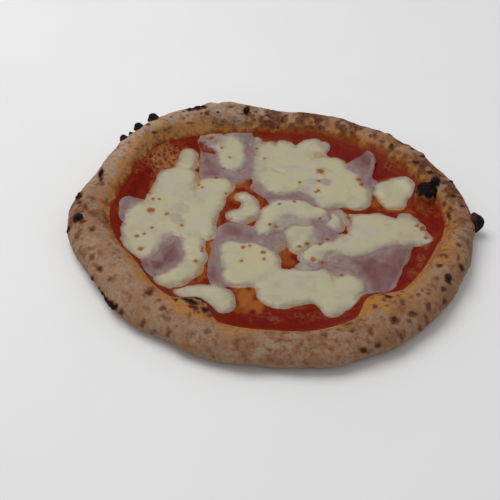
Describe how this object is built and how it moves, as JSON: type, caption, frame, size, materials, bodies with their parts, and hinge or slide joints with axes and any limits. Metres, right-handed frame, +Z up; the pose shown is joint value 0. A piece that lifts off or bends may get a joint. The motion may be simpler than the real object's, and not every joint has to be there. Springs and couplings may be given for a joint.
{
  "type": "ham pizza",
  "caption": "Round ham pizza with a puffed, spotted crust, tomato sauce, cooked ham slices and pools of melted mozzarella.",
  "frame": {"origin": "middle of the underside's box, on the plane the pizza rests on", "axes": "+Z up, -Y towards the side with the two crust bubbles, +X towards the side with the burst black blister"},
  "size_m": [0.3274, 0.3082, 0.0289],
  "materials": {
    "crust": "matte, floury baked dough",
    "sauce": "wet satin",
    "ham": "moist satin",
    "cheese": "soft gloss, slightly oily"
  },
  "bodies": {
    "root": {"dough": "crust", "tomato_sauce": "sauce", "ham_1": "ham", "ham_2": "ham", "ham_3": "ham", "ham_4": "ham", "ham_5": "ham", "ham_6": "ham", "ham_7": "ham", "ham_8": "ham", "mozzarella_1": "cheese", "mozzarella_2": "cheese", "mozzarella_3": "cheese", "mozzarella_4": "cheese", "mozzarella_5": "cheese", "mozzarella_6": "cheese", "mozzarella_7": "cheese", "mozzarella_8": "cheese", "mozzarella_9": "cheese", "mozzarella_10": "cheese", "mozzarella_11": "cheese"}
  },
  "joints": []
}
